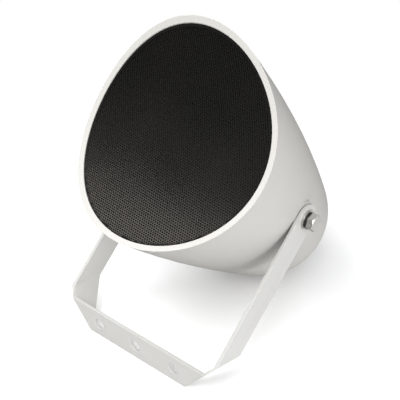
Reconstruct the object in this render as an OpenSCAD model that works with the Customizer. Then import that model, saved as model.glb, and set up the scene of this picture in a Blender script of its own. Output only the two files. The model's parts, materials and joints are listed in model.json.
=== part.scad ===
// Projection speaker: a scooped round housing that tilts in a steel U bracket.
// Millimetres. The origin is the middle fixing hole on the outer face of the bracket's base.
// +Z is up, -Y is the way the mounting face looks, and X runs along the tilt axis.
// Inside the housing's own modules, z runs along its axis towards the mouth, y is its top,
// and the tilt axis crosses at z = 0.

/* [Housing] */
// Outer radius at which the curve of the side would run parallel to the axis
housing_r = 90.8; // [87:0.1:94]
// Distance from the tilt axis forward to that place, beyond the mouth
housing_r_at = 209; // [195:1:220]
// Radius of the long curve of the side, seen in section
side_r = 1294; // [1150:1:1500]
// Angle through which the side curve turns inwards
side_turn = 13.1; // [12:0.1:14]
// Radius of the shoulder behind the side curve
shoulder_r = 68; // [45:1:90]
// Slope of the wall where the shoulder ends
shoulder_turn = 23.8; // [20:0.1:30]
// Radius of the round tail corner
corner_r = 31; // [27:0.5:34]
// Thickness of the moulded wall
wall = 3; // [2.4:0.1:4]

/* [Mouth] */
// Radius of the scoop that cuts the mouth, seen from the side
scoop_r = 206; // [180:1:260]
// Distance from the tilt axis forward to the deepest point of the scoop
scoop_at = 96; // [93:0.5:100]
// Drop of that deepest point below the housing's axis
scoop_drop = 29; // [15:1:38]
// Width of the flat rim around the mouth
rim_w = 4.4; // [3.6:0.1:6]
// Width of the ledge that the grille sits on
ledge_w = 5; // [3:0.5:7]
// Thickness of that ledge
ledge_t = 3; // [2:0.5:4]

/* [Grille] */
// Depth of the grille's face below the rim
grille_recess = 0.8; // [0.4:0.1:2]
// Thickness of the grille sheet
grille_t = 1; // [0.8:0.1:1.6]
// Diameter of one grille hole
grille_hole_d = 6.8; // [3:0.1:7]
// Distance between neighbouring grille holes
grille_pitch = 13.2; // [13:0.1:16]
// Plain border left around the holes
grille_border = 5; // [3:0.5:10]
// Thickness of the dust cloth behind the grille
cloth_t = 1.2; // [0.8:0.1:3]

/* [Bracket] */
// Width of the steel strip
strip_w = 25; // [22:0.5:28]
// Thickness of the steel strip
strip_t = 2.5; // [2:0.1:3.5]
// Angle between the arms and the direction straight out of the base
rake = 40.2; // [37:0.1:43]
// Distance between neighbouring fixing holes
fix_pitch = 41; // [36:0.5:43]
// Diameter of a fixing hole
fix_d = 10; // [6:0.1:11]
// How far the bends carry the base ahead of the arms' own slope
base_ahead = 0.8; // [0:0.1:2]
// Length that the bend takes off the base, at the upper edge of the strip
bend_up_base = 7; // [6:0.5:9]
// Length that the bend takes off the base, at the lower edge of the strip
bend_low_base = 27; // [24:0.5:29]
// Length that the bend takes off the arm, at the upper edge of the strip
bend_up_arm = 9; // [6:0.5:12]
// Length that the bend takes off the arm, at the lower edge of the strip
bend_low_arm = 48.5; // [44:0.5:52]

/* [Pivot] */
// Angle by which the housing's mouth is lowered towards the bracket's base
tilt_at_rest = 2.6; // [0:0.1:8]
// Diameter of the pivot bolts
bolt_d = 8; // [6:0.5:8]
// Diameter of the flat washers
washer_d = 17; // [16:0.5:20]
// Thickness of the flat washers
washer_t = 1.6; // [1.2:0.1:2]
// Thickness of the spring washers
spring_t = 2.1; // [1.6:0.1:2.4]
// Thickness of the fibre washers between housing and arms
fibre_t = 0.7; // [0.6:0.1:1.2]
// Diameter of the fibre washers
fibre_d = 24; // [20:0.5:25]
// Diameter of the pads on the housing that the arms press on
pad_d = 28; // [24:0.5:30]
// Height of those pads above the round side at the washer's edge
pad_rise = 0.2; // [0.2:0.1:1]
// Length of the threaded inserts behind the pads
insert_len = 14; // [10:0.5:16]

/* [Driver] */
// Position of the driver's seat ahead of the tilt axis
driver_at = 77; // [74:0.5:78]
// Outer radius of the driver's flange
driver_r = 69; // [64:0.5:70]
// Outer radius of the paper cone
cone_r = 54; // [48:0.5:55]
// Depth of the basket from its flange to its floor
basket_depth = 36; // [30:0.5:38]
// Outer radius of the magnet
magnet_r = 40; // [34:0.5:44]
// Thickness of the magnet
magnet_t = 14; // [10:0.5:16]

/* [Transformer] */
// Width of the iron core
core_w = 42; // [36:1:44]
// Height of the iron core
core_h = 36; // [30:1:38]
// Thickness of the stack of core sheets
core_stack = 22; // [16:1:24]
// Distance of the mounting strap ahead of the housing's tail
strap_up = 38; // [33:1:40]

/* [Cable gland] */
// Diameter of the gland's thread
gland_d = 12; // [10:0.5:12]
// Distance across the gland's flats
gland_flats = 16; // [15:0.5:17]
// Length of the dome nut
gland_nut_len = 10; // [8:0.5:11]

/* [Hidden] */
$fn = 96;
eps = 0.01;
slip = 0.3;       // gap between parts that are put together by hand
snug = 0.05;      // gap between parts that are pressed or screwed together
run = 0.08;       // radial gap of a turning fit

// The side of the housing: four arcs, each tangent to the next.
// Every arc is [centre z, centre radius, arc radius, first slope, last slope].
side_arc = [housing_r_at, housing_r - side_r, side_r, 0, side_turn];
function arc_end(a) = [a[0] - a[2] * sin(a[4]), a[1] + a[2] * cos(a[4])];
function next_arc(a, r, turn) =
    let (p = arc_end(a)) [p[0] + r * sin(a[4]), p[1] - r * cos(a[4]), r, a[4], turn];
shoulder_arc = next_arc(side_arc, shoulder_r, shoulder_turn);
corner_turn = 80;
corner_arc = next_arc(shoulder_arc, corner_r, corner_turn);
tail_r = arc_end(corner_arc)[1] / cos(corner_turn);
tail_arc = [arc_end(corner_arc)[0] + tail_r * sin(corner_turn), 0, tail_r, corner_turn, 90];
tail_z = tail_arc[0] - tail_r;
arcs = [side_arc, shoulder_arc, corner_arc, tail_arc];
arc_steps = [12, 3, 8, 3];
// Points [radius, z] of the side, moved inwards by a distance, from the mouth to the tail
function skin(inward) = [for (k = [0:3]) for (i = [(k == 0 ? 0 : 1):arc_steps[k]])
    let (a = arcs[k], t = a[3] + (a[4] - a[3]) * i / arc_steps[k])
    [max(0, a[1] + (a[2] - inward) * cos(t)), a[0] - (a[2] - inward) * sin(t)]];
// Radius of the side at a place z on the long curve
function side_at(z) = side_arc[1] + sqrt(side_r * side_r - (z - housing_r_at) * (z - housing_r_at));
function backwards(list) = [for (i = [len(list) - 1:-1:0]) list[i]];

// The bracket hangs from the pivot and stands on its lower edge beside the tail corner
stand_slope = 90 - rake;
housing_turn = 90 + tilt_at_rest - stand_slope;
corner_y = -corner_arc[0] * sin(housing_turn) - corner_arc[1] * cos(housing_turn);
corner_z = corner_arc[0] * cos(housing_turn) - corner_arc[1] * sin(housing_turn);
pivot_z = corner_r - corner_z - strip_w / 2;
// The line of the arm's upper edge passes just behind the base's upper edge
pivot_y = base_ahead + (pivot_z - strip_w / 2 + strip_w / 2 / cos(rake)) / tan(rake);
pad_x = side_at(fibre_d / 2) + pad_rise;
// The pads start inside the wall, where it lies lowest beside them
pad_back = sqrt(pow(side_at(-pad_d / 2), 2) - pow(pad_d / 2, 2));
arm_in = pad_x + fibre_t;
arm_out = arm_in + strip_t;

// Length of the arms from the tilt axis to the mounting face, along their two edges
arm_up_len = (pivot_y - strip_w / 2 * sin(rake)) / cos(rake) - bend_up_arm;
arm_low_len = (pivot_y + strip_w / 2 * sin(rake)) / cos(rake) - bend_low_arm;

// Depths below the rim, and heights inside the housing
seat = grille_recess + grille_t + cloth_t + 2 * snug;
shelf_t = 4;
gasket_t = 1;
flange_z = driver_at + gasket_t;
flange_t = 1.5;
floor_z = flange_z - basket_depth;
plate_t = 4;
coil_r = 13;
surround_w = 7;
flange_in = cone_r + surround_w;
screw_ring = (driver_r + flange_in) / 2;
magnet_z = floor_z - plate_t - magnet_t;
insert_r = 6;
strap_t = 1.2;
strap_z = tail_z + strap_up;
clear_d = bolt_d + 2 * run;
seat_z = tail_z - 1;
inner_z = tail_z + wall + 1;
hex_h = 5;

// Places the housing's own frame, and the two pivots with z pointing outwards
module in_housing() {
    translate([0, pivot_y, pivot_z]) rotate([housing_turn, 0, 0]) children();
}
module at_pivot(side) {
    in_housing() rotate([0, 90 * side, 0]) children();
}

// The plain shapes that several pieces share
module housing_body(inward) {
    rotate_extrude($fn = 180) polygon(concat([[0, housing_r_at]], skin(inward)));
}
module scoop(depth) {
    translate([0, -scoop_drop, scoop_at + scoop_r]) rotate([0, 90, 0])
        cylinder(r = scoop_r + depth, h = 2.4 * housing_r, center = true, $fn = 240);
}
module mouth_layer(inward, from, to) {
    intersection() {
        housing_body(inward);
        difference() {
            scoop(to);
            scoop(from);
        }
    }
}
module ring(r_out, r_in, z0, z1) {
    translate([0, 0, z0]) difference() {
        cylinder(r = r_out, h = z1 - z0);
        translate([0, 0, -1]) cylinder(r = r_in, h = z1 - z0 + 2);
    }
}
module hexagon(flats, h) {
    r = flats / 2 / cos(30);
    linear_extrude(h) polygon([for (i = [0:5]) [r * cos(60 * i), r * sin(60 * i)]]);
}
module quarter_turns() {
    for (i = [0:3]) rotate([0, 0, 45 + 90 * i]) children();
}
// A pan screw whose head rests on z = 0
module pan_screw(d, len, head_d, head_h) {
    difference() {
        union() {
            translate([0, 0, -len]) cylinder(d = d, h = len + eps);
            cylinder(d1 = head_d, d2 = head_d * 0.8, h = head_h);
        }
        translate([0, 0, head_h - 0.5]) cube([head_d * 0.6, 0.9, 1.02], center = true);
        translate([0, 0, head_h - 0.5]) cube([0.9, head_d * 0.6, 1.02], center = true);
    }
}

// Housing
module housing_posts() {
    // Shelf that carries the driver, with a boss under each of its screws
    translate([0, 0, driver_at - shelf_t]) difference() {
        cylinder(r = housing_r, h = shelf_t);
        translate([0, 0, -1]) cylinder(r = flange_in, h = shelf_t + 2);
    }
    quarter_turns() translate([screw_ring, 0, driver_at - shelf_t - 12])
        cylinder(r = 4.5, h = 13);
    // Posts for the transformer's strap and the terminal block
    for (side = [-1, 1]) translate([side * (core_w / 2 + 6), 0, tail_z])
        cylinder(r = 4.5, h = strap_z - strap_t - snug - tail_z);
    translate([0, core_h / 2 + 16, tail_z]) cylinder(r = 5, h = strap_z + 9 - tail_z);
    // Bosses round the threaded inserts, and the thick seat of the cable gland
    for (side = [-1, 1]) rotate([0, 90 * side, 0])
        translate([0, 0, pad_x - insert_len - 3]) cylinder(r = 10, h = insert_len + 3);
    translate([0, 0, tail_z]) cylinder(r = 11, h = wall + 1);
}
module housing_shell() {
    color("gainsboro") in_housing() difference() {
        union() {
            difference() {
                housing_body(0);
                scoop(0);
                intersection() {
                    housing_body(rim_w);
                    scoop(seat);
                }
                intersection() {
                    housing_body(rim_w + ledge_w);
                    scoop(seat + ledge_t + 1);
                }
                difference() {
                    housing_body(wall);
                    scoop(seat + ledge_t);
                    housing_posts();
                }
            }
            for (side = [-1, 1]) rotate([0, 90 * side, 0])
                translate([0, 0, pad_back]) cylinder(d = pad_d, h = pad_x - pad_back);
            translate([0, 0, seat_z]) cylinder(r = 11, h = 2);
        }
        for (side = [-1, 1]) rotate([0, 90 * side, 0])
            translate([0, 0, pad_x - insert_len]) cylinder(r = insert_r + snug, h = insert_len + 1);
        translate([0, 0, seat_z - 1]) cylinder(d = gland_d + 2 * slip, h = wall + 4);
        quarter_turns() translate([screw_ring, 0, driver_at - 13])
            cylinder(d = 3.5 + 2 * snug, h = 14);
        for (side = [-1, 1]) translate([side * (core_w / 2 + 6), 0, strap_z - 9])
            cylinder(d = 3.5 + 2 * snug, h = 10);
        translate([0, core_h / 2 + 16, strap_z - 3]) cylinder(d = 3 + 2 * snug, h = 13);
    }
}

// Grille and the cloth behind it
hole_rows = floor((housing_r - grille_border) / (grille_pitch * cos(30)));
hole_cols = floor((housing_r - grille_border) / grille_pitch);
hole_limit = housing_r - rim_w - grille_border - grille_hole_d / 2 - 1.5;
module grille() {
    color("dimgray") in_housing() difference() {
        mouth_layer(rim_w + slip, grille_recess, grille_recess + grille_t);
        for (j = [-hole_rows:hole_rows]) for (i = [-hole_cols:hole_cols])
            let (x = grille_pitch * (i + (j % 2 == 0 ? 0 : 0.5)), y = grille_pitch * cos(30) * j)
            if (norm([x, y]) < hole_limit) translate([x, y, scoop_at - 10])
                cylinder(d = grille_hole_d, h = 50, $fn = 24);
    }
}
module dust_cloth() {
    color("black") in_housing()
        mouth_layer(rim_w + slip, grille_recess + grille_t + snug, seat - snug);
}

// Driver
module driver_gasket() {
    color("black") in_housing() difference() {
        ring(driver_r, flange_in + 1, driver_at, flange_z);
        quarter_turns() translate([screw_ring, 0, driver_at - 1]) cylinder(d = 4.2, h = 4);
    }
}
module driver_basket() {
    foot = coil_r + 24;
    color("silver") in_housing() difference() {
        rotate_extrude() polygon([[driver_r, flange_z], [driver_r, flange_z + flange_t],
            [flange_in - 1.3, flange_z + flange_t], [flange_in - 3, flange_z - 4],
            [foot, floor_z + 1.2], [coil_r + 2, floor_z + 1.2], [coil_r + 2, floor_z],
            [foot + 1, floor_z], [flange_in - 1.5, flange_z - 4], [flange_in - slip, flange_z]]);
        quarter_turns() translate([screw_ring, 0, flange_z - 1]) cylinder(d = 4.2, h = 4);
        for (i = [0:3]) rotate([0, 0, 90 * i])
            translate([foot - 3, -16, floor_z + 6]) cube([30, 32, basket_depth - 15]);
    }
}
module driver_screws() {
    color("silver") in_housing() quarter_turns()
        translate([screw_ring, 0, flange_z + flange_t]) pan_screw(3.5, 12, 6.4, 2.2);
}
module surround() {
    roll = surround_w / 2;
    top = flange_z + flange_t;
    color("black") in_housing() rotate_extrude() polygon(concat(
        [[flange_in + 0.5, top], [flange_in + 0.5, top + 0.8]],
        [for (i = [0:8]) [cone_r + roll + roll * cos(22.5 * i), top + 0.8 + roll * sin(22.5 * i)]],
        [[cone_r - 2, top + 0.8], [cone_r - 2, top]],
        [for (i = [8:-1:0]) [cone_r + roll + (roll - 0.8) * cos(22.5 * i),
            top + (roll - 0.8) * sin(22.5 * i)]]));
}
module paper_cone() {
    top = flange_z + flange_t;
    color("dimgray") in_housing() rotate_extrude() polygon([[cone_r, top], [cone_r - 3, top],
        [cone_r - 20, top - 9], [coil_r + 0.6, top - 22], [coil_r + 0.6, top - 24],
        [cone_r - 19.5, top - 10.2], [cone_r, top - 1]]);
}
module dust_cap() {
    top = flange_z + flange_t;
    color("black") in_housing() rotate_extrude() polygon([[coil_r + 6, top - 17.2],
        [coil_r + 3, top - 14.6], [coil_r - 3, top - 12.4], [0, top - 11.2], [0, top - 12.2],
        [coil_r - 3, top - 13.4], [coil_r + 2.6, top - 15.6], [coil_r + 5, top - 18]]);
}
module voice_coil() {
    color("peru") in_housing() ring(coil_r + 0.5, coil_r - 0.4, floor_z - 5, flange_z + flange_t - 20);
}
module spider() {
    color("goldenrod") in_housing() rotate_extrude() polygon([
        [coil_r + 0.6, floor_z + 6], [coil_r + 4, floor_z + 7.4], [coil_r + 8, floor_z + 5.4],
        [coil_r + 12, floor_z + 7.4], [coil_r + 16, floor_z + 5.4], [coil_r + 20, floor_z + 1.2],
        [coil_r + 22, floor_z + 1.2], [coil_r + 22, floor_z + 2], [coil_r + 20.4, floor_z + 2],
        [coil_r + 16.6, floor_z + 6.2], [coil_r + 12, floor_z + 8.2], [coil_r + 8, floor_z + 6.2],
        [coil_r + 4, floor_z + 8.2], [coil_r + 0.6, floor_z + 6.8]]);
}
module magnet_top_plate() {
    color("silver") in_housing() ring(magnet_r - 3, coil_r + 1.2, floor_z - plate_t, floor_z);
}
module magnet() {
    color("darkslategray") in_housing() ring(magnet_r, magnet_r - 20, magnet_z, floor_z - plate_t);
}
module pole_piece() {
    color("silver") in_housing() union() {
        translate([0, 0, magnet_z - plate_t]) cylinder(r = magnet_r - 3, h = plate_t);
        translate([0, 0, magnet_z - eps]) cylinder(r = coil_r - 1, h = magnet_t + plate_t);
    }
}

// Line transformer with its terminals
module transformer_core() {
    color("slategray") in_housing() difference() {
        translate([-core_w / 2, -core_h / 2, strap_z + snug])
            cube([core_w, core_h, core_stack]);
        for (side = [-1, 1]) translate([side * core_w / 4 - core_w / 12, -core_h / 2 + 7, strap_z])
            cube([core_w / 6, core_h - 14, core_stack + 1]);
    }
}
module transformer_winding() {
    inner = core_w / 6 + slip;
    outer = core_w / 3 - slip;
    color("peru") in_housing() difference() {
        translate([-outer, -core_h / 2 + 7 + slip, strap_z - 6])
            cube([2 * outer, core_h - 14 - 2 * slip, core_stack + 12]);
        translate([-inner, -core_h / 2, strap_z - slip])
            cube([2 * inner, core_h, core_stack + 3 * slip]);
    }
}
module transformer_strap() {
    color("silver") in_housing() difference() {
        union() {
            translate([-core_w / 2 - 11, -core_h / 2 + 4, strap_z - strap_t])
                cube([core_w + 22, core_h - 8, strap_t]);
            for (side = [-1, 1])
                translate([side * (core_w / 2 + snug + strap_t / 2) - strap_t / 2,
                    -core_h / 2 + 4, strap_z - strap_t])
                    cube([strap_t, core_h - 8, core_stack]);
        }
        translate([-core_w / 3 - 1, -core_h / 2 + 6, strap_z - 2])
            cube([2 * core_w / 3 + 2, core_h - 12, 3]);
        for (side = [-1, 1]) translate([side * (core_w / 2 + 6), 0, strap_z - 2])
            cylinder(d = 4, h = 3);
    }
}
module transformer_screws() {
    color("silver") in_housing() for (side = [-1, 1])
        translate([side * (core_w / 2 + 6), 0, strap_z]) pan_screw(3.5, 9, 6.4, 2.2);
}
module terminal_block() {
    color("ivory") in_housing() difference() {
        translate([-13, core_h / 2 + 10, strap_z + 9]) cube([26, 12, 11]);
        for (i = [-1, 1]) translate([8 * i, core_h / 2 + 16, strap_z + 14]) cylinder(r = 2, h = 7);
        translate([0, core_h / 2 + 16, strap_z + 8]) cylinder(d = 3.4, h = 14);
        translate([0, core_h / 2 + 16, strap_z + 16]) cylinder(d = 6.2, h = 6);
    }
}
module terminal_screw() {
    color("silver") in_housing() translate([0, core_h / 2 + 16, strap_z + 16])
        pan_screw(3, 16, 5.6, 2);
}

// Cable gland in the middle of the tail
module gland_body() {
    color("dimgray") in_housing() difference() {
        union() {
            translate([0, 0, seat_z - hex_h]) hexagon(gland_flats, hex_h);
            translate([0, 0, seat_z - hex_h - 6])
                cylinder(d = gland_d, h = inner_z + 6 - seat_z + hex_h + 6);
        }
        translate([0, 0, seat_z - hex_h - 7]) cylinder(d = gland_d - 4, h = 40);
    }
}
module gland_nut() {
    color("dimgray") in_housing() difference() {
        translate([0, 0, seat_z - hex_h - gland_nut_len]) intersection() {
            hexagon(gland_flats, gland_nut_len);
            cylinder(d1 = gland_flats - 3, d2 = 2 * gland_flats, h = gland_nut_len + 4);
        }
        translate([0, 0, seat_z - hex_h - 6.2]) cylinder(d = gland_d + 2 * snug, h = 7);
        translate([0, 0, seat_z - hex_h - 8.7]) cylinder(d = gland_d - 2, h = 5);
        translate([0, 0, seat_z - hex_h - gland_nut_len - 1]) cylinder(d = gland_d - 5, h = 9);
    }
}
module gland_seal() {
    color("black") in_housing()
        ring(gland_d / 2 - 1 - snug, gland_d / 2 - 3, seat_z - hex_h - 8.6, seat_z - hex_h - 6.1);
}
module gland_locknut() {
    color("dimgray") in_housing() difference() {
        translate([0, 0, inner_z]) hexagon(gland_flats, 4);
        translate([0, 0, inner_z - 1]) cylinder(d = gland_d + 2 * snug, h = 6);
    }
}

// Pivots: each bolt screws into an insert and turns with the housing
module threaded_insert(side) {
    color("goldenrod") at_pivot(side)
        ring(insert_r, bolt_d / 2 + snug, pad_x - insert_len, pad_x);
}
module fibre_washer(side) {
    color("firebrick") at_pivot(side) ring(fibre_d / 2, bolt_d / 2 + slip, pad_x, arm_in);
}
module flat_washer(side) {
    color("silver") at_pivot(side) ring(washer_d / 2, bolt_d / 2 + 0.2, arm_out, arm_out + washer_t);
}
module spring_washer(side) {
    color("silver") at_pivot(side) difference() {
        ring(bolt_d / 2 + 3, bolt_d / 2 + 0.2, arm_out + washer_t, arm_out + washer_t + spring_t);
        translate([0, 0, arm_out + washer_t + spring_t / 2]) rotate([35, 0, 30])
            translate([2, -0.5, -5]) cube([10, 1, 10]);
    }
}
module pivot_bolt(side) {
    head_z = arm_out + washer_t + spring_t;
    head_flats = bolt_d + 5;
    color("silver") at_pivot(side) union() {
        translate([0, 0, pad_x - insert_len + 1])
            cylinder(d = bolt_d, h = head_z - pad_x + insert_len - 1 + eps);
        translate([0, 0, head_z]) intersection() {
            hexagon(head_flats, 5.5);
            cylinder(r1 = head_flats / 2 + 5.2, r2 = head_flats / 2 - 0.3, h = 5.5);
        }
    }
}
module insert_right() { threaded_insert(1); }
module insert_left() { threaded_insert(-1); }
module fibre_washer_right() { fibre_washer(1); }
module fibre_washer_left() { fibre_washer(-1); }
module flat_washer_right() { flat_washer(1); }
module flat_washer_left() { flat_washer(-1); }
module spring_washer_right() { spring_washer(1); }
module spring_washer_left() { spring_washer(-1); }
module pivot_bolt_right() { pivot_bolt(1); }
module pivot_bolt_left() { pivot_bolt(-1); }

// Bracket: one steel strip with an oblique bend between the base and each arm
module arm_plate(side) {
    // Drawn with the arm along +x and its upper edge at +y, the pivot at the origin
    translate([side * (arm_in + strip_t / 2), pivot_y, pivot_z]) rotate([rake, 0, 0])
        rotate([90, 0, 90]) linear_extrude(strip_t, center = true) difference() {
            union() {
                circle(d = strip_w);
                polygon([[0, strip_w / 2], [-arm_up_len, strip_w / 2],
                    [-arm_low_len, -strip_w / 2], [0, -strip_w / 2]]);
            }
            circle(d = clear_d);
        }
}

// The bend's two end slices lie a hair inside the plates that they join
hair = 0.05;
module bend_end_on_arm(side) {
    translate([side * (arm_in + strip_t / 2), pivot_y, pivot_z]) rotate([rake, 0, 0])
        rotate([90, 0, 90]) linear_extrude(strip_t - 2 * hair, center = true)
            polygon([[-arm_up_len + 0.5, strip_w / 2 - hair], [-arm_up_len, strip_w / 2 - hair],
                [-arm_low_len, hair - strip_w / 2], [-arm_low_len + 0.5, hair - strip_w / 2]]);
}
module bend_end_on_base(side) {
    up = side * (arm_out - bend_up_base);
    low = side * (arm_out - bend_low_base);
    rotate([90, 0, 0]) translate([0, 0, -strip_t + hair]) linear_extrude(strip_t - 2 * hair)
        polygon([[up, strip_w / 2 - hair], [up - side * 0.5, strip_w / 2 - hair],
            [low - side * 0.5, hair - strip_w / 2], [low, hair - strip_w / 2]]);
}
module bracket() {
    up = arm_out - bend_up_base;
    low = arm_out - bend_low_base;
    color("whitesmoke") difference() {
        union() {
            rotate([90, 0, 0]) translate([0, 0, -strip_t]) linear_extrude(strip_t)
                polygon([[up, strip_w / 2], [-up, strip_w / 2], [-low, -strip_w / 2],
                    [low, -strip_w / 2]]);
            for (side = [-1, 1]) {
                arm_plate(side);
                hull() {
                    bend_end_on_arm(side);
                    bend_end_on_base(side);
                }
            }
        }
        for (i = [-1:1]) translate([i * fix_pitch, -1, 0]) rotate([-90, 0, 0])
            cylinder(d = fix_d, h = strip_t + 2);
    }
}

housing_shell();
grille();
dust_cloth();
driver_basket();
driver_gasket();
driver_screws();
surround();
paper_cone();
dust_cap();
voice_coil();
spider();
magnet_top_plate();
magnet();
pole_piece();
transformer_core();
transformer_winding();
transformer_strap();
transformer_screws();
terminal_block();
terminal_screw();
gland_body();
gland_nut();
gland_seal();
gland_locknut();
insert_right();
insert_left();
pivot_bolt_right();
pivot_bolt_left();
spring_washer_right();
spring_washer_left();
flat_washer_right();
flat_washer_left();
fibre_washer_right();
fibre_washer_left();
bracket();
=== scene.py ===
import json
import math

import bmesh
import bpy
from mathutils import Matrix, Vector


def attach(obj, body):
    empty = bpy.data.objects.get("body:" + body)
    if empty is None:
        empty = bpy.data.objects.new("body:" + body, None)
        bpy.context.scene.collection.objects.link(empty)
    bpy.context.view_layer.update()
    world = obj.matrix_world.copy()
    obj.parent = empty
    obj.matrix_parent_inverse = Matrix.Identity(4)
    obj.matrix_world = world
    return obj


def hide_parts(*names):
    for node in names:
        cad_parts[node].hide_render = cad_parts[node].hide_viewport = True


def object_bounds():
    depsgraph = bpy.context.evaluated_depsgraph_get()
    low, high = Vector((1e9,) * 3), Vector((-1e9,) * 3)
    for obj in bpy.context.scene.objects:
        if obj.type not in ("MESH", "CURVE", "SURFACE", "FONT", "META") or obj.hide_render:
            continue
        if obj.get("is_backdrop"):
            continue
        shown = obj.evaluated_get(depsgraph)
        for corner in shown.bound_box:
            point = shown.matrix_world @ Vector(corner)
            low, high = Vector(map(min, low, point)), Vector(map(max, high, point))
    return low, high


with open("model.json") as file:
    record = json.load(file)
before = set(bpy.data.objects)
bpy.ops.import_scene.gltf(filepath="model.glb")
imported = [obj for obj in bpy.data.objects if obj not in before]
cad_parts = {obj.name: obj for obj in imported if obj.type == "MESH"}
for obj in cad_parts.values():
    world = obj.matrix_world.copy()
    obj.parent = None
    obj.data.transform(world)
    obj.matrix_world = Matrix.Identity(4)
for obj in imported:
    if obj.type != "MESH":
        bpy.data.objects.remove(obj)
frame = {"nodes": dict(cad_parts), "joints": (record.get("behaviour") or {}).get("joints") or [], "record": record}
low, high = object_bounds()
floor_z = low[2]
scene = bpy.context.scene

# Sizes shared with the part, in metres, along and around the housing's own axis
PIVOT = Vector(frame["joints"][0]["pos_m"])
TURN = math.radians(42.8)          # the housing's axis, leaning forward from straight up
SCOOP_R, SCOOP_AT, SCOOP_DROP = 0.206, 0.096, 0.029
SIDE_R, SIDE_AT, HOUSING_R = 1.294, 0.209, 0.0908
RIM_W, RECESS = 0.0044, 0.0008
FACE_R = SCOOP_R + RECESS          # the grille's face, from the scoop's axis
HOUSING = Matrix.Translation(PIVOT) @ Matrix.Rotation(TURN, 4, "X")


# Camera
CAMERA_RIGHT = Vector((0.764657, 0.64443, -0.00321))
CAMERA_DOWN = Vector((0.363246, -0.435119, -0.823847))
CAMERA_FORWARD = Vector((-0.532308, 0.628794, -0.566803))
CAMERA_AT = Vector((0.420139, -0.413953, 0.547903))
LENS, SENSOR = 87.92, 36.0


def place_camera():
    data = bpy.data.cameras.new("camera")
    data.lens = LENS
    data.sensor_width = SENSOR
    data.clip_start = 0.01
    data.clip_end = 50.0
    camera = bpy.data.objects.new("camera", data)
    scene.collection.objects.link(camera)
    place = Matrix((CAMERA_RIGHT, -CAMERA_DOWN, -CAMERA_FORWARD)).transposed().to_4x4()
    place.translation = CAMERA_AT
    camera.matrix_world = place
    scene.camera = camera


place_camera()
scene.view_settings.view_transform = "Standard"


# Colours
def srgb(value):
    """A level from 0 to 255, made linear."""
    level = value / 255.0
    return level / 12.92 if level <= 0.04045 else ((level + 0.055) / 1.055) ** 2.4


def colour(r, g, b):
    return (srgb(r), srgb(g), srgb(b), 1.0)


def scaled(base, factor, blue=None):
    """A colour made darker or lighter, its blue by a factor of its own where one is given."""
    factors = (factor, factor, factor if blue is None else blue)
    return (*(min(part * by, 1.0) for part, by in zip(base, factors)), 1.0)


# Node trees
class Net:
    """Adds nodes and links to one node tree."""

    def __init__(self, tree):
        self.tree = tree

    def put(self, socket, value):
        if isinstance(value, bpy.types.NodeSocket):
            self.tree.links.new(value, socket)
        else:
            socket.default_value = value

    def fill(self, node, **inputs):
        for key, value in inputs.items():
            self.put(node.inputs[key.replace("_", " ")], value)

    def add(self, kind, props=None, **inputs):
        node = self.tree.nodes.new(kind)
        for key, value in (props or {}).items():
            setattr(node, key, value)
        self.fill(node, **inputs)
        return node

    def math(self, operation, a, b=0.0, c=0.0, clamp=False):
        node = self.add("ShaderNodeMath", {"operation": operation, "use_clamp": clamp})
        for socket, value in zip(node.inputs, (a, b, c)):
            self.put(socket, value)
        return node.outputs[0]

    def vector(self, operation, a, b=None):
        """A vector operation: its value for a length or a dot product, or else its vector."""
        node = self.add("ShaderNodeVectorMath", {"operation": operation})
        self.put(node.inputs[0], a)
        if b is not None:
            self.put(node.inputs[1], b)
        return node.outputs[1 if operation in ("LENGTH", "DOT_PRODUCT") else 0]

    def mix(self, factor, a, b):
        """One colour fading into another."""
        node = self.add("ShaderNodeMix", {"data_type": "RGBA"})
        self.put(node.inputs[0], factor)
        self.put(node.inputs[6], a)
        self.put(node.inputs[7], b)
        return node.outputs[2]

    def span(self, value, from_low, from_high, to_low=0.0, to_high=1.0):
        node = self.tree.nodes.new("ShaderNodeMapRange")
        for socket, item in zip(node.inputs, (value, from_low, from_high, to_low, to_high)):
            self.put(socket, item)
        return node.outputs[0]

    def noise(self, point, scale, detail=2.0, rough=0.5):
        node = self.add("ShaderNodeTexNoise", Vector=point, Scale=scale, Detail=detail, Roughness=rough)
        return node.outputs[0]

    def group(self, tree, *values):
        node = self.add("ShaderNodeGroup", {"node_tree": tree})
        for socket, value in zip(node.inputs, values):
            self.put(socket, value)
        return node.outputs

    def blend(self, factor, first, second):
        """One shader fading into another."""
        node = self.tree.nodes.new("ShaderNodeMixShader")
        for socket, value in zip(node.inputs, (factor, first.outputs[0], second.outputs[0])):
            self.put(socket, value)
        return node.outputs[0]


def make_group(name, inputs, outputs):
    group = bpy.data.node_groups.new(name, "ShaderNodeTree")
    for label, kind in inputs:
        group.interface.new_socket(label, in_out="INPUT", socket_type=kind)
    for label in outputs:
        group.interface.new_socket(label, in_out="OUTPUT", socket_type="NodeSocketFloat")
    entry = group.nodes.new("NodeGroupInput")
    leave = group.nodes.new("NodeGroupOutput")
    return group, Net(group), entry.outputs, leave.inputs


# Surface effects that several materials share
GRAIN, WAVES, PATCHES, SPECKS = 900.0, 26.0, 9.0, 240.0      # how fine each one is, per metre


def make_moulding_skin():
    """Height of a fine moulded grain over slow, shallow waves, its uneven shine and its specks."""
    group, net, entry, leave = make_group(
        "moulding_skin",
        [("Point", "NodeSocketVector"), ("Grain", "NodeSocketFloat")],
        ["Height", "Patch", "Speck"])
    point, grain = entry[0], entry[1]
    fine = net.noise(point, grain, detail=3.0, rough=0.6)
    waves = net.noise(point, WAVES)
    patch = net.noise(point, PATCHES, detail=4.0, rough=0.55)
    speck = net.add("ShaderNodeTexVoronoi", Vector=point, Scale=SPECKS)
    net.put(leave[0], net.math("MULTIPLY_ADD", fine, 0.35, waves))
    net.put(leave[1], patch)
    net.put(leave[2], net.span(speck.outputs[0], 0.03, 0.10, 1.0, 0.0))
    return group


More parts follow.
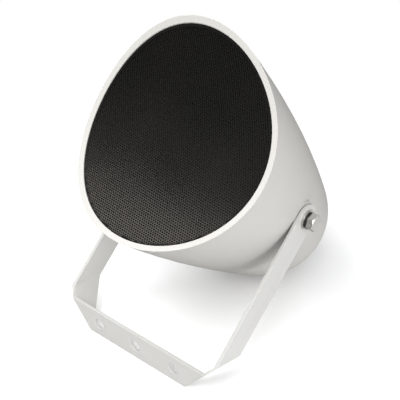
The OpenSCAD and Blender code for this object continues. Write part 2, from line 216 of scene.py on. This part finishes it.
def make_edge_highlight():
    """1 on the edges that get a painted highlight, from the difference between the true and the rounded normal."""
    group, net, entry, leave = make_group(
        "edge_highlight",
        [("Rounded", "NodeSocketVector"), ("True", "NodeSocketVector"), ("Highlight", "NodeSocketFloat")],
        ["Edge"])
    alike = net.vector("DOT_PRODUCT", entry[0], entry[1])
    edge = net.span(alike, 0.995, 0.80)
    net.put(leave[0], net.math("MULTIPLY", edge, entry[2], clamp=True))
    return group


SKIN = make_moulding_skin()
EDGE_HIGHLIGHT = make_edge_highlight()


def start_material(name):
    material = bpy.data.materials.new(name)
    material.use_nodes = True
    material.node_tree.nodes.clear()
    net = Net(material.node_tree)
    out = net.add("ShaderNodeOutputMaterial")
    surface = net.add("ShaderNodeBsdfPrincipled")
    net.put(out.inputs[0], surface.outputs[0])
    point = net.add("ShaderNodeTexCoord").outputs["Object"]
    return material, net, surface, point


def edges_of(net, radius, lit_strength):
    """The rounded normal of an edge, and how strongly the edge gets a painted highlight."""
    rounded = net.add("ShaderNodeBevel", {"samples": 6}, Radius=radius).outputs[0]
    true = net.add("ShaderNodeNewGeometry").outputs["Normal"]
    return rounded, net.group(EDGE_HIGHLIGHT, rounded, true, lit_strength)[0]


def bump(net, surface, strength, depth, height, normal=None):
    node = net.add("ShaderNodeBump", Strength=strength, Distance=depth, Height=height)
    if normal is not None:
        net.put(node.inputs["Normal"], normal)
    net.put(surface.inputs["Normal"], node.outputs[0])


# Materials
def moulded_plastic(name, base, warm, rough=0.42, grain=GRAIN, radius=0.0006, edge=0.5, gloss=0.45):
    """Moulded plastic: faint patches of a second tone, dark specks and a painted highlight that makes the edges
    paler.
    """
    material, net, surface, point = start_material(name)
    height, patch, speck = net.group(SKIN, point, grain)
    normal, lit_edge = edges_of(net, radius, edge)
    tone = net.mix(net.span(patch, 0.35, 0.65), base, warm)
    tone = net.mix(net.math("MULTIPLY", speck, 0.10), tone, scaled(base, 0.6, blue=0.58))
    # Paler edges: painted highlight
    net.fill(surface, Base_Color=net.mix(lit_edge, tone, scaled(base, 1.35)),
             Roughness=net.span(patch, 0.3, 0.7, rough - 0.05, rough + 0.06),
             Specular_IOR_Level=gloss)
    bump(net, surface, 0.10, 0.0004, height, normal)
    return material


def coated_steel(name, base, rough=0.36):
    """Powder coat: a fine orange peel, glossier on top, and a painted highlight that makes the cut edges nearly
    white.
    """
    material, net, surface, point = start_material(name)
    height, patch, _ = net.group(SKIN, point, 620.0)
    normal, lit_edge = edges_of(net, 0.0005, 0.7)
    peel = net.add("ShaderNodeTexVoronoi", {"feature": "SMOOTH_F1"}, Vector=point, Scale=900.0)
    whole = net.math("MULTIPLY_ADD", peel.outputs[0], 0.8, height)
    tone = net.mix(net.span(patch, 0.35, 0.65), base, scaled(base, 0.93, blue=0.92))
    # Nearly white cut edges: painted highlight
    net.fill(surface, Base_Color=net.mix(lit_edge, tone, colour(246, 246, 243)),
             Roughness=net.span(patch, 0.3, 0.7, rough - 0.04, rough + 0.05),
             Coat_Weight=0.15, Coat_Roughness=0.25)
    bump(net, surface, 0.12, 0.0003, whole, normal)
    return material


def plain_metal(name, base, rough=0.3):
    """Plated or drawn metal: fine streaks one way, stains, a painted highlight on the edges and painted shade
    where pieces meet.
    """
    material, net, surface, point = start_material(name)
    stretch = net.add("ShaderNodeMapping", Vector=point, Scale=(60.0, 900.0, 900.0))
    lines = net.noise(stretch.outputs[0], 1.0, detail=4.0)
    stain = net.noise(point, 120.0, detail=5.0, rough=0.65)
    normal, lit_edge = edges_of(net, 0.0003, 0.6)
    tone = net.mix(net.span(stain, 0.4, 0.7), base, scaled(base, 0.72, blue=0.74))
    # Brighter edges: painted highlight
    tone = net.mix(lit_edge, tone, scaled(base, 1.3))
    # Painted shade: the colour darkens to near black where pieces meet, from an occlusion mask
    nook = net.add("ShaderNodeAmbientOcclusion", {"samples": 8}, Distance=0.004)
    crevice_shade = net.span(nook.outputs[1], 0.15, 0.60, 0.90, 0.0)
    net.fill(surface, Base_Color=net.mix(crevice_shade, tone, scaled(base, 0.05)), Metallic=1.0,
             Roughness=net.span(lines, 0.3, 0.7, rough - 0.08, rough + 0.10))
    bump(net, surface, 0.10, 0.0002, lines, normal)
    return material


def grille_metal():
    """Dark plated sheet, a little uneven in tone, with painted shade that makes the walls inside its holes black.
    """
    material, net, surface, point = start_material("grille")
    # The distance from the scoop's axis tells the walls of the holes from the face; the walls get painted shade
    scoop_axis = HOUSING @ Vector((0.0, -SCOOP_DROP, SCOOP_AT + SCOOP_R))
    offset = net.vector("SUBTRACT", point, scoop_axis)
    from_axis = net.vector("LENGTH", net.vector("MULTIPLY", offset, (0.0, 1.0, 1.0)))
    hole_wall_shade = net.span(from_axis, FACE_R + 0.00003, FACE_R + 0.0002)
    patch = net.noise(point, 14.0, detail=4.0)
    grit = net.noise(point, 1500.0, detail=3.0)
    tone = net.mix(net.span(patch, 0.35, 0.7), colour(62, 60, 56), colour(74, 71, 65))
    net.fill(surface, Base_Color=net.mix(hole_wall_shade, tone, colour(6, 6, 6)), Metallic=0.9,
             Roughness=net.span(patch, 0.3, 0.7, 0.24, 0.32))
    bump(net, surface, 0.15, 0.0001, grit)
    return material


def woven(name, base, pitch=0.0007, rough=0.9):
    """Cloth and paper: two crossing sets of threads with loose fibres."""
    material, net, surface, point = start_material(name)
    threads = [net.add("ShaderNodeTexWave", {"bands_direction": way}, Vector=point,
                       Scale=0.3 / pitch, Distortion=0.6) for way in ("X", "Y")]
    fibre = net.noise(point, 1400.0, detail=4.0)
    weave = net.math("MULTIPLY", threads[0].outputs[1], threads[1].outputs[1])
    height = net.math("MULTIPLY_ADD", fibre, 0.6, weave)
    # Raised threads are lighter and the hollows between them darker: painted shade
    raised = net.math("MULTIPLY", height, 0.5, clamp=True)
    net.fill(surface, Base_Color=net.mix(raised, base, scaled(base, 1.9)),
             Roughness=rough, Sheen_Weight=0.05)
    bump(net, surface, 0.4, 0.0002, height)
    return material


MATERIALS = {
    "moulding": moulded_plastic("moulding", colour(186, 184, 180), colour(182, 180, 175), edge=0.6),
    "moulding_inner": moulded_plastic("moulding_inner", colour(226, 224, 214), colour(220, 217, 205)),
    "gland": moulded_plastic("gland", colour(70, 70, 72), colour(64, 64, 65), rough=0.5, radius=0.0003),
    # The fibre washers are near-black grey as painted shade for the dark line at the washers
    "fibre": moulded_plastic("fibre", colour(52, 50, 47), colour(44, 42, 40), rough=0.7, radius=0.0001),
    "soft": moulded_plastic("soft", colour(14, 14, 14), colour(19, 18, 18), rough=0.75, radius=0.0003,
                            gloss=0.1),
    "ferrite": moulded_plastic("ferrite", colour(52, 52, 55), colour(42, 42, 44), rough=0.55, grain=1500.0),
    "coated_steel": coated_steel("coated_steel", colour(186, 185, 182)),
    "pressing": coated_steel("pressing", colour(120, 121, 124), rough=0.45),
    "zinc": plain_metal("zinc", colour(206, 204, 198), rough=0.34),
    "spring_steel": plain_metal("spring_steel", colour(74, 73, 70), rough=0.22),
    "brass": plain_metal("brass", colour(196, 162, 88)),
    "copper": plain_metal("copper", colour(168, 96, 56), rough=0.35),
    "grille": grille_metal(),
    "cloth": woven("cloth", colour(9, 9, 8)),
    "paper": woven("paper", colour(34, 34, 36), pitch=0.0011),
    "doped_cloth": woven("doped_cloth", colour(150, 118, 62), rough=0.7),
}


def paint(piece, name):
    piece.data.materials.clear()
    piece.data.materials.append(MATERIALS[name])


def new_object(name, shape):
    mesh = bpy.data.meshes.new(name)
    shape.to_mesh(mesh)
    shape.free()
    piece = bpy.data.objects.new(name, mesh)
    scene.collection.objects.link(piece)
    return piece


for part in frame["record"]["subparts"]:
    spring = part["node"].startswith("spring_washer")
    paint(frame["nodes"][part["node"]], "spring_steel" if spring else part["material_slot"])


# Grille: a fine perforated sheet that follows the scoop
HOLE_PITCH, HOLE_R, SHEET_T = 0.00212, 0.00081, 0.0006
ROWS_LEAN = math.radians(-5.0)              # the rows of holes don't run quite across the mouth
HALF_CORNER = math.radians(30)              # half of the angle between two corners of a cell
HOLES_LONG, HOLES_WIDE = 0.14, 0.105        # how far the holes may reach from the middle
HOLES_IN = RIM_W + 0.0018                   # the outermost holes, in from the housing's side
STRIP_OUTER, STRIP_INNER = RIM_W + 0.0002, RIM_W + 0.0023
STRIP_LIFT = 0.00004                        # the strip lies this far behind the sheet's face
STRIP_GRID = (150, 190)
STRIP_FIELD = (0.19, 0.27, 1.0)
PULL, STEP = 0.0010, 0.0002


def side_radius(z):
    return HOUSING_R - SIDE_R + math.sqrt(SIDE_R ** 2 - (z - SIDE_AT) ** 2)


def on_scoop(x, along, depth):
    """A point of the curved sheet: along is measured on the sheet's own curve."""
    angle = along / FACE_R
    reach = FACE_R + depth
    y = reach * math.sin(angle) - SCOOP_DROP
    z = SCOOP_AT + SCOOP_R - reach * math.cos(angle)
    return Vector((x, y, z))


def inside_by(x, along):
    """How far a point of the sheet lies inside the housing's side."""
    spot = on_scoop(x, along, 0.0)
    return side_radius(spot.z) - math.hypot(spot.x, spot.y)


def make_cell():
    """One six-sided cell of the sheet with its hole, made flat."""
    cell = bmesh.new()
    bmesh.ops.create_circle(cell, cap_ends=True, radius=HOLE_PITCH / 2 / math.cos(HALF_CORNER), segments=6)
    bmesh.ops.rotate(cell, verts=cell.verts, matrix=Matrix.Rotation(HALF_CORNER + ROWS_LEAN, 3, "Z"))
    bmesh.ops.inset_individual(cell, faces=cell.faces[:], thickness=HOLE_PITCH / 2 - HOLE_R)
    middle = min(cell.faces, key=lambda face: face.calc_center_median().length)
    pushed = bmesh.ops.extrude_discrete_faces(cell, faces=[middle])["faces"]
    bmesh.ops.translate(cell, verts=pushed[0].verts, vec=(0, 0, SHEET_T))
    bmesh.ops.delete(cell, geom=pushed, context="FACES_ONLY")
    mesh = bpy.data.meshes.new("cell")
    cell.to_mesh(mesh)
    cell.free()
    return mesh


def make_perforated_sheet():
    """The cell repeated in rows inside the rim, then bent onto the scoop."""
    cell = make_cell()
    row_pitch = HOLE_PITCH * math.cos(HALF_CORNER)
    turned = Matrix.Rotation(ROWS_LEAN, 3, "Z")
    rows, columns = int(HOLES_LONG / row_pitch), int(HOLES_WIDE / HOLE_PITCH)
    sheet = bmesh.new()
    here = Vector((0.0, 0.0, 0.0))
    for row in range(-rows, rows + 1):
        shift = 0.5 if row % 2 else 0.0
        for column in range(-columns, columns + 1):
            there = turned @ Vector((HOLE_PITCH * (column + shift), row_pitch * row, 0.0))
            if inside_by(there.x, there.y) > HOLES_IN:
                cell.transform(Matrix.Translation(there - here))
                sheet.from_mesh(cell)
                here = there
    bpy.data.meshes.remove(cell)
    for vert in sheet.verts:
        vert.co = HOUSING @ on_scoop(vert.co.x, vert.co.y, vert.co.z)
    return sheet


def pull_onto(band, limit):
    """Pulls the vertices that are next to a limit onto it."""
    for vert in band.verts:
        x, y = vert.co.x, vert.co.y
        gap = inside_by(x, y) - limit
        if abs(gap) < PULL:
            slope_x = (inside_by(x + STEP, y) - inside_by(x - STEP, y)) / STEP / 2
            slope_y = (inside_by(x, y + STEP) - inside_by(x, y - STEP)) / STEP / 2
            square = slope_x * slope_x + slope_y * slope_y
            vert.co.x -= gap * slope_x / square
            vert.co.y -= gap * slope_y / square


def drop_beyond(band, limit, outwards):
    """Deletes the faces outside a limit, or those inside it."""
    gone = []
    for face in band.faces:
        gaps = [inside_by(vert.co.x, vert.co.y) - limit for vert in face.verts]
        if (sum(gaps) / len(gaps) < 0) == outwards:
            gone.append(face)
    bmesh.ops.delete(band, geom=gone, context="FACES")


def make_gap_shade():
    """A black strip between the outermost holes and the rim: painted shade for the shadowed gap at the grille's
    edge.
    """
    band = bmesh.new()
    across, along = STRIP_GRID
    bmesh.ops.create_grid(band, x_segments=across, y_segments=along, size=0.5)
    bmesh.ops.scale(band, verts=band.verts, vec=STRIP_FIELD)
    for limit, outwards in ((STRIP_OUTER, True), (STRIP_INNER, False)):
        pull_onto(band, limit)
        drop_beyond(band, limit, outwards)
    for vert in band.verts:
        vert.co = HOUSING @ on_scoop(vert.co.x, vert.co.y, STRIP_LIFT)
    return band


sheet = new_object("perforated_sheet", make_perforated_sheet())
gap_shade = new_object("grille_gap_shade", make_gap_shade())
# The black strip takes the soft black material as painted shade for the gap at the grille's edge
for piece, slot_name in ((sheet, "grille"), (gap_shade, "soft")):
    paint(piece, slot_name)
    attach(piece, "housing_body")
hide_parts("grille")


# Floor
FLOOR_DROP = 0.0002                         # keeps the floor clear of the edge that stands on it
FADE_FROM, FADE_TO = 0.16, 0.42
FLOOR_TONE, FLOOR_BOUNCE = (0.93, 0.93, 0.93, 1.0), (0.90, 0.90, 0.90, 1.0)


def floor_finish():
    """A pale floor that fades into the white background away from the object."""
    material, net, surface, point = start_material("floor")
    path = net.add("ShaderNodeLightPath")
    tone = net.mix(path.outputs["Is Diffuse Ray"], FLOOR_TONE, FLOOR_BOUNCE)
    net.fill(surface, Base_Color=tone, Roughness=0.7)
    fade = net.span(net.vector("LENGTH", point), FADE_FROM, FADE_TO, 1.0, 0.0)
    unseen_in_shine = net.math("SUBTRACT", 1.0, path.outputs["Is Glossy Ray"])
    clear = net.add("ShaderNodeBsdfTransparent")
    whole = net.blend(net.math("MULTIPLY", fade, unseen_in_shine), clear, surface)
    out = next(node for node in net.tree.nodes if node.type == "OUTPUT_MATERIAL")
    net.put(out.inputs[0], whole)
    return material


def make_floor():
    shape = bmesh.new()
    bmesh.ops.create_grid(shape, x_segments=8, y_segments=8, size=1.0)
    bmesh.ops.translate(shape, verts=shape.verts, vec=(0, 0, floor_z - FLOOR_DROP))
    return new_object("floor", shape)


floor = make_floor()
floor.data.materials.append(floor_finish())
floor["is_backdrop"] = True


# Background and lights
SKY = 0.61                                  # light of the plain sky on dull surfaces
SKY_TONE, WHITE = (0.97, 0.98, 1.0, 1.0), (1.0, 1.0, 1.0, 1.0)
AIM = Vector((0.0, 0.08, 0.08))
BOX_SIZE = (0.9, 0.7)
SOFTBOXES = {                               # place in metres, and watts
    "key": ((0.2, -0.75, 1.2), 16.0),
    "ceiling": ((-0.7, -0.1, 1.25), 8.3),
    "right": ((1.3, -0.3, 0.35), 9.9),
    "high": ((0.9, 0.1, 1.0), 1.4),
}


def room_shine(net):
    """What shiny surfaces see: a bright ceiling over a dim room, and a bright wall on the right."""
    direction = net.add("ShaderNodeTexCoord").outputs["Generated"]
    split = net.add("ShaderNodeSeparateXYZ", Vector=direction)
    to_right, upwards = split.outputs[0], split.outputs[2]
    lean = net.math("MULTIPLY_ADD", to_right, -0.35, upwards)
    ceiling = net.math("POWER", net.span(lean, 0.35, 1.05, 0.3, 1.06), 3.5)
    wall = net.span(to_right, -0.15, 0.35, 0.0, 0.98)
    return net.math("MAXIMUM", ceiling, wall)


def make_background():
    world = bpy.data.worlds.new("studio")
    scene.world = world
    world.use_nodes = True
    world.node_tree.nodes.clear()
    net = Net(world.node_tree)
    path = net.add("ShaderNodeLightPath")
    seen = net.math("MAXIMUM", path.outputs["Is Camera Ray"], path.outputs["Is Transmission Ray"])
    extra = net.math("SUBTRACT", room_shine(net), SKY)
    shine = net.math("MULTIPLY_ADD", path.outputs["Is Glossy Ray"], extra, SKY)
    sky = net.add("ShaderNodeBackground", Color=SKY_TONE, Strength=shine)
    white = net.add("ShaderNodeBackground", Color=WHITE, Strength=1.0)
    out = net.add("ShaderNodeOutputWorld")
    net.put(out.inputs[0], net.blend(seen, sky, white))


def softbox(name, place, watts):
    data = bpy.data.lights.new(name, "AREA")
    data.shape = "RECTANGLE"
    data.size, data.size_y = BOX_SIZE
    data.energy = watts
    lamp = bpy.data.objects.new(name, data)
    scene.collection.objects.link(lamp)
    lamp.location = place
    lamp.rotation_mode = "QUATERNION"
    lamp.rotation_quaternion = (AIM - Vector(place)).to_track_quat("-Z", "Y")
    lamp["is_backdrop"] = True


make_background()
for name, (place, watts) in SOFTBOXES.items():
    softbox(name, place, watts)

low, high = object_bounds()
